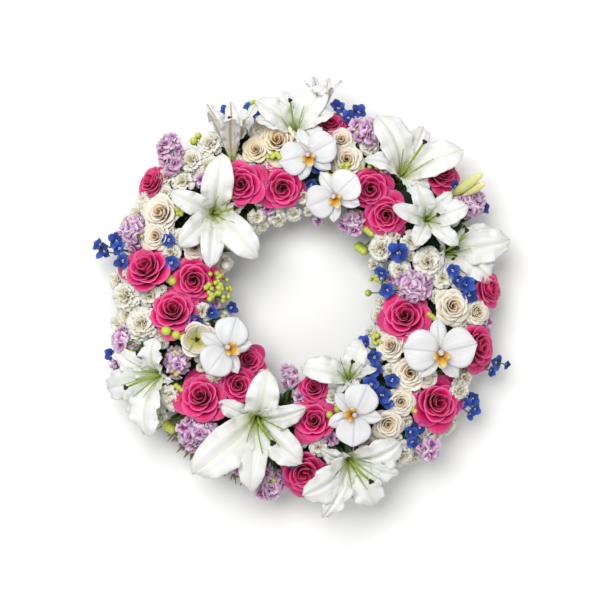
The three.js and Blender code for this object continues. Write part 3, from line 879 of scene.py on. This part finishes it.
# half: how far a spike's florets reach across and up the picture
spikeKeys = ("at", "half", "height", "rise", "florets", "lean")
stocks = numbered("stock", spikeKeys, [
    ((-190, 200), (15, 24), 106, 26, 14, (-0.3, 0.6)),
    ((-242, 90), (17, 22), 92, 26, 14, (-0.9, 0.3)),
    ((-253, -70), (17, 22), 88, 26, 14, (-0.9, -0.3)),
    ((-178, -95), (13, 17), 106, 24, 11, (0, -0.2)),
    ((-146, -198), (30, 26), 106, 28, 22, (-0.4, -0.4)),
    ((-50, -269), (22, 20), 84, 28, 16, (-0.2, -0.8)),
    ((85, 230), (18, 18), 106, 24, 12, (0.2, 0.5)),
    ((238, 129), (17, 17), 92, 24, 12, (0.8, 0.4)),
    ((154, 11), (21, 17), 112, 26, 14, (-0.2, 0)),
])
stockPetals = petalMaterial("stock_petals", stockLook)
for number, (name, spike) in enumerate(stocks.items()):
    shells = clusterOf(spike, floretSize=24, seed=1 + number)
    buildPiece(name + "_petals", shells, stockPetals, [name])
print("stock ready")

carnations = branches({
    "carnation_01": [(139, -229, 46), (186, -200, 40), (222, -136, 34)],
    "carnation_02": [(-134, 216, 40), (-160, 192, 44)],
    "carnation_03": [(-254, -1, 48), (-230, -40, 50)],
    "carnation_04": [(108, 66, 42), (134, 36, 34), (174, 46, 46)],
})


def placedHeads(makeHead, style, heads, seed, spinStep):
    # Shells for each head, each turned by spinStep degrees from the one before it
    return [
        placed(makeHead(style, seed + k), dict(head, spin=spinStep * k))
        for k, head in enumerate(heads)
    ]


whitePetals = petalMaterial("white_ruffles", whiteLook)
for number, (name, heads) in enumerate(carnations.items()):
    shells = placedHeads(ruffledHead, carnationStyle, heads, seed=700 + 10 * number, spinStep=40)
    buildPiece(name + "_petals", shells, whitePetals, [name])
print("carnations ready")


# Cream spray roses

# Cream rose petals: soft and silky; the brown and gold down in the cup and on the inner petals are
# painted shade in the crevices
creamLook = {
    "alongPetal": [(0.0, "#9a6a30"), (0.35, "#d2b684"), (0.7, "#efe3cc"), (1.0, "#f8f2e6")],
    "heart": "#d9a860", "heartSize": 0.3, "heartAmount": 0.6, "back": "#f0e8d8",
    "veinAndShadeColour": "#c9a676", "veinDepth": 0.35, "toneSpread": 0.08,
}
# A golden rose: its own golden colour, with a darker root and inner petals that are painted shade down in
# the cup
goldenStops = [(0.0, "#a8701c"), (0.35, "#dcb058"), (0.7, "#f0dcae"), (1.0, "#f8eed6")]
creamStyle = dict(
    roseStyle, petals=24, rows=7, columns=8, thickness=0.011, outerRadius=0.42, roll=0.15, ruffle=0.02
)
creamRoses = branches({
    "cream_rose_01": [(53, 219, 36), (60, 191, 44)],
    "cream_rose_02": [(210, -16, 48), (246, -25, 34)],
    "cream_rose_03": [(122, -71, 42), (149, -110, 48), (136, -151, 38), (118, -183, 42)],
    "cream_rose_04": [(-37, 218, 56), (-68, 205, 36)],
    "cream_rose_05": [(-203, 117, 54), (-209, 84, 40), (-153, 66, 34)],
})
creamPetals = petalMaterial("cream_rose_petals", creamLook)
goldenPetals = petalMaterial("golden_rose_petals", dict(creamLook, alongPetal=goldenStops))
for number, (name, heads) in enumerate(creamRoses.items()):
    shells = placedHeads(roseHead, creamStyle, heads, seed=800 + 10 * number, spinStep=70)
    skin = goldenPetals if name == "cream_rose_04" else creamPetals
    buildPiece(name + "_petals", shells, skin, [name])
print("cream roses ready")


# Delphinium

# Delphinium sepals: thin and deep blue, uneven from floret to floret, paler at the rim
delphiniumLook = {
    "alongPetal": [(0.0, "#161c58"), (0.35, "#27429c"), (0.75, "#365eb8"), (1.0, "#5a84cc")],
    "back": "#3350b4", "backAmount": 0.5,
    "veins": 10, "veinAndShadeAmount": 0.4, "veinAndShadeColour": "#1a2f8c", "veinDepth": 0.5,
    "toneSpread": 0.45, "sheen": 0.08, "glow": 0.08,
}
# The small white petals in a floret's middle, which make its eye
eyeLook = dict(whiteLook, alongPetal=[(0.0, "#3c3a60"), (0.4, "#b9b8d8"), (1.0, "#e6e8f6")])
eyeStyle = dict(fillerStyle, petals=5, rows=4, columns=4, thickness=0.05, outerTilt=60, frill=0.02)
eyeSize = 0.34    # of its floret's size
floretStyle = {"rows": 6, "columns": 6, "thickness": 0.03, "length": 0.48, "half": 0.27}
outwardReach = 130    # florets this far outside the foam's middle, in millimetres, lean by 45 degrees
delphiniums = branches({
    "delphinium_01": [(-266, 77, 24), (-286, 63, 24), (-256, 48, 23)],
    "delphinium_02": [(94, -126, 24), (110, -141, 24), (101, -106, 22)],
})
looseDelphinium = headsAt([
    (-190, 77, 20), (-186, 45, 22), (-76, 269, 22), (-111, 263, 18), (-67, 252, 20),
    (48, 265, 22), (63, 251, 20), (78, 260, 22), (21, 179, 20), (10, 155, 18),
    (134, 60, 30), (119, 6, 22), (111, 31, 22), (84, -140, 22), (124, -120, 20),
    (118, -150, 20), (87, -70, 22), (100, -88, 20), (228, -153, 20), (245, -164, 20),
    (163, -186, 22), (150, -192, 20), (153, -207, 20), (-17, -231, 22), (227, 15, 24),
    (268, -109, 16), (-131, -25, 18), (-104, -18, 18), (-274, -84, 20), (197, 190, 20),
    (214, 154, 16), (255, 125, 20), (275, -96, 24), (290, -100, 13), (240, -148, 22),
    (238, -170, 18), (-292, 72, 18), (-262, 66, 20), (208, 34, 20), (216, 20, 18),
])


def delphiniumFloret(style, seed):
    # Five blunt sepals that overlap, cupped and a little twisted
    rng = np.random.default_rng(seed)
    v, u = petalGrid(style)
    k = np.arange(5)[:, None, None]
    jitter = rng.uniform(-1, 1, (4, 5, 1, 1))
    turn = k * fullTurn / 5 + 0.15 * jitter[0]
    outline = style["half"] * (0.2 + 0.8 * np.sin(math.pi * v ** 0.9) ** 0.6) * (1 - 0.8 * v ** 9)
    out = 0.03 + style["length"] * v * (1 + 0.1 * jitter[1])
    up = (k % 2) * 0.03 + 0.34 * v * (1 + 0.7 * jitter[2]) - 0.2 * v ** 2
    up = up + 0.1 * u ** 2 * v + 0.05 * jitter[3] * u * v
    sheet = turnedSheet(out, outline * u, up, turn)
    return petals(sheet, style, v, u, 1.0, rng.uniform(0, 1, (5, 1, 1)))


blueHeads = []


def delphiniumShells(heads, seed):
    # Florets that lean outwards in proportion to how far they stand outside the foam's middle;
    # their heads are kept for their stems
    sepals, eyes = [], []
    rng = np.random.default_rng(seed)
    for k, head in enumerate(heads):
        x, y = head["at"]
        away = math.hypot(x, y)
        outward = (away - dome["radius"]) / outwardReach
        lift, spin = rng.uniform(-2, 5), rng.uniform(0, 360)
        head = dict(head, lift=lift, spin=spin, lean=(outward * x / away, outward * y / away))
        eye = dict(head, size=head["size"] * eyeSize, lift=lift + 1)
        sepals.append(placed(delphiniumFloret(floretStyle, seed * 50 + k), head))
        eyes.append(placed(ruffledHead(eyeStyle, seed * 50 + k), eye))
        blueHeads.append(head)
    return sepals, eyes


delphiniumSepals = petalMaterial("delphinium_sepals", delphiniumLook)
delphiniumEyes = petalMaterial("delphinium_eyes", eyeLook)
allEyes = []
for number, (name, heads) in enumerate(delphiniums.items()):
    sepals, eyes = delphiniumShells(heads, seed=21 + number)
    buildPiece(name + "_sepals", sepals, delphiniumSepals, [name])
    allEyes += eyes
sepals, eyes = delphiniumShells(looseDelphinium, seed=25)
buildPiece("loose_delphinium", sepals, delphiniumSepals)
buildPiece("delphinium_eyes", allEyes + eyes, delphiniumEyes)
print("delphinium ready")


# Buds and berries

def buds(heads, length, waist, rows=9, sides=10):
    # Closed round buds: the radius is a half circle's, drawn out to the bud's length
    t = np.linspace(-1, 1, rows)
    path = np.stack([0 * t, 0 * t, t * length / 2], -1)[None]
    shell = tubes(path, (waist * np.sqrt(1 - t ** 2) ** 0.9 + 0.004)[None], sides)
    return [placed(shell, head) for head in heads]


def sprinkled(middle, half, count, sizes, seed):
    # Places scattered over an ellipse, dense at its middle
    rng = np.random.default_rng(seed)
    away, turn = rng.uniform(0, 1, count) ** 0.7, rng.uniform(0, fullTurn, count)
    x = middle[0] + half[0] * away * np.cos(turn)
    y = middle[1] + half[1] * away * np.sin(turn)
    return list(zip(x, y, rng.uniform(*sizes, count)))


berries = sprinkled((-121, 12), half=(17, 25), count=34, sizes=(7, 11), seed=61)
hypericum = headsAt(berries, lift=10)
greenPlaces = [
    (-156, 218, 13), (-150, 226, 11), (-175, 130, 14), (-166, 138, 12), (-182, 138, 12),
    (-193, -50, 17), (-179, -56, 15), (-73, 275, 11), (92, 3, 11), (48, -160, 14),
    (36, -168, 12), (-170, -60, 12),
]
budClusters = [(98, 186), (-41, 193), (38, 168), (106, 22), (100, -62), (-176, 118), (57, 176)]
for number, middle in enumerate(budClusters):
    greenPlaces += sprinkled(middle, half=(10, 9), count=9, sizes=(6, 9), seed=62 + number)
for number, spike in enumerate(stocks.values()):
    greenPlaces += sprinkled(spike["at"], spike["half"], count=4, sizes=(6, 9), seed=81 + number)
greenBuds = headsAt(greenPlaces, lift=6)
whiteBuds = headsAt([(-36, 273, 19), (-112, 42, 15), (112, 192, 15), (-98, 120, 13)], lift=2)
closedLily = {"at": (230, 156), "height": 92, "size": 62, "lean": (1.0, 0.75)}
lilyBuds = [closedLily, dict(closedLily, at=(238, 148), size=50, lean=(1.0, 0.6), height=88)]
# Unripe berries and closed buds: taut and a little shiny, darker where they join their stalk
budGreen = stemMaterial("green_buds", [(0.0, "#4c6a20"), (0.5, "#98a634"), (1.0, "#ccd45c")], 0.4)
budWhite = stemMaterial("white_buds", [(0.0, "#7d9440"), (0.4, "#d3d3b0"), (1.0, "#f1efe6")], 0.5)
budPale = stemMaterial("lily_bud", [(0.0, "#97a63c"), (0.4, "#d6d88c"), (1.0, "#e8e2a0")], 0.4)
buildPiece("hypericum_01_berries", buds(hypericum, length=0.9, waist=0.42), budGreen, ["hypericum_01"])
buildPiece("green_buds", buds(greenBuds, length=0.95, waist=0.45), budGreen)
buildPiece("white_buds", buds(whiteBuds, length=1.1, waist=0.45), budWhite)
shells = buds(lilyBuds, length=1.0, waist=0.115, rows=14, sides=12)
buildPiece("closed_lily_buds", shells, budPale)
print("buds ready")


# Loose flowers between the named ones

looseStocks = numbered("loose_stock", spikeKeys, [
    ((-20, -116), (8, 14), 84, 18, 6, (0, 0.5)),
    ((67, 104), (15, 14), 96, 24, 9, (-0.2, -0.4)),
    ((-266, -98), (8, 10), 66, 18, 5, (-0.9, -0.4)),
    ((176, -220), (12, 11), 84, 20, 7, (0.5, -0.6)),
    ((-116, -226), (12, 11), 84, 20, 7, (-0.4, -0.6)),
])
spikes = [*stocks.values(), *looseStocks.values()]
looseWhites = headsAt([
    (-227, 137, 34), (-252, -30, 42), (115, -49, 30), (-190, -143, 34), (-143, -24, 32),
    (113, 184, 30), (-112, 44, 30), (41, -144, 30), (-136, 182, 38), (-246, 30, 38),
    (-268, 20, 34), (-236, -54, 36), (-266, -40, 34), (14, 216, 32), (-62, 234, 34),
    (92, 212, 32), (196, 24, 34), (222, 20, 32), (178, -54, 16), (172, -116, 38),
    (160, -234, 38), (208, -190, 38), (114, -214, 40), (92, -212, 32), (-20, -226, 34),
    (-100, -228, 30), (-184, -152, 30), (-172, 162, 36), (-188, 60, 34), (208, 112, 34),
    (-66, 110, 28), (-36, 106, 30), (-14, 114, 26), (-196, 168, 34), (150, -66, 34),
    (122, -108, 30), (230, -118, 30), (-238, 116, 34), (-218, -2, 36), (-196, 92, 32),
    (110, 88, 30), (150, 76, 32), (126, -206, 34), (20, -216, 30), (-118, -200, 28),
], lift=-5)
shells = []
for number, spike in enumerate(looseStocks.values()):
    shells += clusterOf(spike, floretSize=22, seed=31 + number)
buildPiece("loose_stock", shells, stockPetals)
shells = placedHeads(ruffledHead, fillerStyle, looseWhites, seed=900, spinStep=50)
buildPiece("loose_white_ruffles", shells, whitePetals)
print("loose flowers ready")


# Fillers, seeded into the gaps that are left

gapSetup = {
    "tries": 7000, "innerEdge": 106, "outerEdge": 270, "seed": 2024,
    "sizes": (16, 32), "overlap": 0.42, "lift": -7,
    "shares": {"white": 0.56, "stock": 0.26, "bud": 0.1, "blue": 0.08},
}


def takenCircles():
    # Every head laid out so far as (across, up, radius), in millimetres round the ring's centre
    small = allOf(carnations) + allOf(creamRoses) + allOf(delphiniums)
    small += looseWhites + looseDelphinium + hypericum + greenBuds + whiteBuds
    groups = [(0.42, [*roses.values(), *small]), (0.33, lilies.values()), (0.4, orchids.values())]
    circles = [(*head["at"], head["size"] * share) for share, heads in groups for head in heads]
    return circles + [(*spike["at"], max(spike["half"]) + 8) for spike in spikes]


def fillGaps(setup):
    # Tries random places round the ring and keeps those that overlap no flower by much
    rng = np.random.default_rng(setup["seed"])
    circles = takenCircles()
    kinds = list(setup["shares"])
    found = {kind: [] for kind in kinds}
    for _ in range(setup["tries"]):
        away = math.sqrt(rng.uniform(setup["innerEdge"] ** 2, setup["outerEdge"] ** 2))
        turn = rng.uniform(0, fullTurn)
        size = rng.uniform(*setup["sizes"])
        kind = rng.choice(kinds, p=list(setup["shares"].values()))
        x, y = away * math.cos(turn), away * math.sin(turn)
        near = np.array(circles)
        space = np.hypot(near[:, 0] - x, near[:, 1] - y) - near[:, 2]
        if space.min() > size / 2 * setup["overlap"]:
            found[kind].append({"at": (x, y), "size": size, "lift": setup["lift"]})
            circles.append((x, y, size / 2))
    return found


gaps = fillGaps(gapSetup)
shells = placedHeads(ruffledHead, fillerStyle, gaps["white"], seed=1000, spinStep=31)
buildPiece("gap_white_ruffles", shells, whitePetals)
shells = placedHeads(ruffledHead, stockFloret, gaps["stock"], seed=1300, spinStep=31)
buildPiece("gap_stock", shells, stockPetals)
# Three buds in a row at each place
budRows = [
    dict(head, at=(head["at"][0] + 4 * k, head["at"][1] - 3 * k), size=head["size"] * 0.55)
    for head in gaps["bud"] for k in (-1, 0, 1)
]
buildPiece("gap_green_buds", buds(budRows, length=1.0, waist=0.4), budGreen)
sepals, eyes = delphiniumShells(gaps["blue"], seed=29)
buildPiece("gap_delphinium", sepals, delphiniumSepals)
buildPiece("gap_delphinium_eyes", eyes, delphiniumEyes)
print("gaps filled:", {kind: len(heads) for kind, heads in gaps.items()})


# Leaves and moss

# Leaves: a dark waxy green with paler veins and a dull grey-green back, so their edges catch light
leafLook = {
    "alongPetal": [(0.0, "#22401a"), (0.5, "#183c18"), (1.0, "#2c5222")],
    "back": "#5c7448", "backAmount": 0.6,
    "veins": 9, "veinAndShadeAmount": 0.4, "veinAndShadeColour": "#6b8a4a", "veinDepth": 0.6,
    "toneSpread": 0.3, "roughness": 0.42, "gloss": 0.45, "sheen": 0.0, "glow": 0.05,
}
# Moss and dry fringe: grey-brown and dull
mossLook = dict(
    leafLook,
    alongPetal=[(0.0, "#3a3828"), (0.5, "#605a42"), (1.0, "#857e62")],
    veinAndShadeColour="#9a9478", back="#6e6852", roughness=0.8, gloss=0.2,
)
# Lengths and half widths are in millimetres; under is how far below the dome leaves stay
leafSetup = {
    "count": 330, "length": (26, 44), "half": (6, 11), "rows": 7, "columns": 6,
    "thickness": 0.4, "under": 16, "turns": (0, fullTurn),
}
mossSetup = dict(leafSetup, count=1700, length=(7, 15), half=(0.9, 2.0), rows=4, columns=3)
fringeTurns = (math.radians(225), math.radians(256))
fringeSetup = dict(leafSetup, count=170, length=(44, 66), half=(3, 7), turns=fringeTurns)
foamSection = {"radius": 192, "halfWidth": 37, "top": 58, "bottom": 16}


def leavesRound(setup, seed, fromSlope, toSlope):
    # Leaves rooted round the foam's cross-section: slope 0 is its top, +90 its outer side, -90 its
    # inner side. Each is a pointed oval that leans off the foam, folded along its midrib, bent
    # down by the square of the way along, and pressed down where it would pass the heads
    rng = np.random.default_rng(seed)
    count = setup["count"]
    turn = rng.uniform(*setup["turns"], count)
    slope = np.radians(rng.uniform(fromSlope, toSlope, count))
    outward = np.stack([np.cos(turn), np.sin(turn), 0 * turn], -1)
    upward = np.array([0, 0, 1.0])
    outReach = np.clip(1.5 * np.sin(slope), -1, 1) * foamSection["halfWidth"]
    level = lerp(foamSection["bottom"], foamSection["top"], np.clip(1.6 * np.cos(slope), 0, 1))
    root = outward * (foamSection["radius"] + outReach)[:, None] + upward * level[:, None]
    away = outward * np.sin(slope)[:, None] + upward * (np.cos(slope) + 0.15)[:, None]
    away = unit(away + rng.uniform(-0.55, 0.55, (count, 3)) * [1, 1, 0.5])
    side = unit(np.cross(away, rng.normal(size=(count, 3))))
    face = np.cross(side, away)
    face *= np.where(face[:, 2:] < 0, -1, 1)
    side = np.cross(away, face)
    length = rng.uniform(*setup["length"], count)[:, None, None, None]
    half = rng.uniform(*setup["half"], count)[:, None, None, None]
    v, u = petalGrid(setup)
    along, across = v[..., None], u[..., None]
    outline = np.sin(math.pi * (0.03 + 0.95 * along) ** 0.8) ** 0.9
    sheet = (
        root[:, None, None]
        + away[:, None, None] * length * along
        + side[:, None, None] * half * outline * across
        + face[:, None, None] * (0.25 * half * np.abs(across) * outline - 0.22 * length * along ** 2)
    )
    domeLevel = dome["base"] + dome["rise"] * domeRise(np.hypot(sheet[..., 0], sheet[..., 1]))
    sheet[..., 2] -= 0.85 * np.maximum(sheet[..., 2] - (domeLevel - setup["under"]), 0)
    shells, marks = petals(sheet, setup, v, u, 1.0, rng.uniform(0, 1, (count, 1, 1)))
    # What would go through the floor is flattened to between 0.7 and 1 mm above it
    shells[..., 2] = np.maximum(shells[..., 2], 1 + 0.3 * shells[..., 2].clip(-30, 0) / 30)
    return shells * mm + ringCentre, marks


leafGreen = petalMaterial("leaves", leafLook)
mossBrown = petalMaterial("moss", mossLook)
shortLeaves = dict(leafSetup, length=(18, 30))
leaves = [
    leavesRound(leafSetup, seed=51, fromSlope=10, toSlope=100),
    leavesRound(dict(shortLeaves, count=170), seed=52, fromSlope=-95, toSlope=-10),
    leavesRound(dict(shortLeaves, count=190), seed=53, fromSlope=-25, toSlope=35),
]
mossy = [
    leavesRound(mossSetup, seed=54, fromSlope=-100, toSlope=105),
    leavesRound(fringeSetup, seed=55, fromSlope=50, toSlope=95),
]
buildPiece("leaves", leaves, leafGreen)
buildPiece("moss", mossy, mossBrown)
print("leaves and moss ready")


# Stems from every head to the foam

stemSetup = {"rows": 8, "sides": 6, "footDepth": 12, "footSpread": 24, "headPull": 0.35, "footPull": 0.3}
spikeSize = 50    # the size of a spike of stock as a head, in millimetres


def allHeads():
    # Every head with its "sink", how far behind its middle its stem begins as a share of its
    # size, and its stem's radius in millimetres
    ruffled = allOf(carnations) + looseWhites + gaps["white"] + gaps["stock"]
    groups = [
        (0.35, 2.6, [*roses.values(), lisianthus]),
        (0.36, 3.6, lilies.values()),
        (0.03, 2.0, orchids.values()),
        (0.08, 2.4, [dict(spike, size=spikeSize) for spike in spikes]),
        (0.35, 2.0, allOf(creamRoses)),
        (0.2, 1.8, ruffled),
        (0.42, 1.0, hypericum + greenBuds + whiteBuds),
        (0.2, 1.2, gaps["bud"]),
        (0.48, 2.4, lilyBuds),
        (0.01, 1.0, blueHeads),
    ]
    return [dict(head, sink=sink, stem=stem) for sink, stem, heads in groups for head in heads]


def stemTo(head):
    # From the head's back down its own axis, then in a bend to a foot inside the foam's top:
    # a cubic between the two, with its first pull along the head's axis
    centre, basis = headPose(head)
    centre = (centre - ringCentre) / mm
    facing = basis[:, 2]
    start = centre - facing * head["size"] * head["sink"]
    away = math.hypot(centre[0], centre[1])
    nearest, farthest = [foamSection["radius"] + side * stemSetup["footSpread"] for side in (-1, 1)]
    footShare = min(max(away, nearest), farthest) / away
    footLevel = foamSection["top"] - stemSetup["footDepth"]
    foot = np.array([centre[0] * footShare, centre[1] * footShare, footLevel])
    gap = np.linalg.norm(start - foot)
    t = np.linspace(0, 1, stemSetup["rows"])[:, None]
    pullA = start - facing * gap * stemSetup["headPull"]
    pullB = foot + np.array([0, 0, gap * stemSetup["footPull"]])
    ends = (1 - t) ** 3 * start + t ** 3 * foot
    return ends + 3 * (1 - t) ** 2 * t * pullA + 3 * (1 - t) * t ** 2 * pullB


# Cut stems: fresh green where they meet the flower, darker towards the foam
stemGreen = stemMaterial("cut_stems", [(0.0, "#5f8a3a"), (0.6, "#4c7430"), (1.0, "#3c5c28")])
stemmed = allHeads()
stemLines = np.stack([stemTo(head) for head in stemmed]) * mm + ringCentre
stemRadii = np.array([[head["stem"] * mm] for head in stemmed])
buildPiece("stems", [tubes(stemLines, stemRadii, stemSetup["sides"])], stemGreen)
print("stems ready:", len(stemLines))


# The foam ring and its tray

def foamMaterial():
    # Wet floral foam: an open-celled phenolic foam, dark and matt when wet, with pores of about
    # 1 mm and darker damp patches about 30 mm wide
    material, tree = startMaterial("wet_phenolic_foam")
    place = objectPlace(tree)
    pores = addNode(tree, "ShaderNodeTexVoronoi", {}, {"Vector": place, "Scale": 900}).outputs["Distance"]
    damp = noise(tree, place, scale=34, detail=3)
    colour = ramp(tree, damp, [(0.3, "#16301a"), (0.6, "#274a2a"), (0.8, "#35603a")])
    finishMaterial(tree, colour, pores, depth=0.6, distance=0.001, skin={"Roughness": 0.85})
    return material


def trayMaterial():
    # Vacuum-formed polystyrene: a satin skin with a faint orange-peel of about 3 mm and fine scuffs
    material, tree = startMaterial("formed_polystyrene")
    place = objectPlace(tree)
    peel = noise(tree, place, scale=320, detail=1)
    scuffs = noise(tree, place, scale=60, detail=5)
    colour = ramp(tree, scuffs, [(0.35, "#1c3a24"), (0.6, "#234a2c"), (0.75, "#3a5c40")])
    skin = {"Roughness": 0.38, "IOR": 1.59}
    finishMaterial(tree, colour, peel, depth=0.2, distance=0.0006, skin=skin)
    return material


for name, material in (("foam_ring", foamMaterial()), ("base_tray", trayMaterial())):
    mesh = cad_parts[name].data
    mesh.materials.clear()
    mesh.materials.append(material)
print("foam and tray ready")
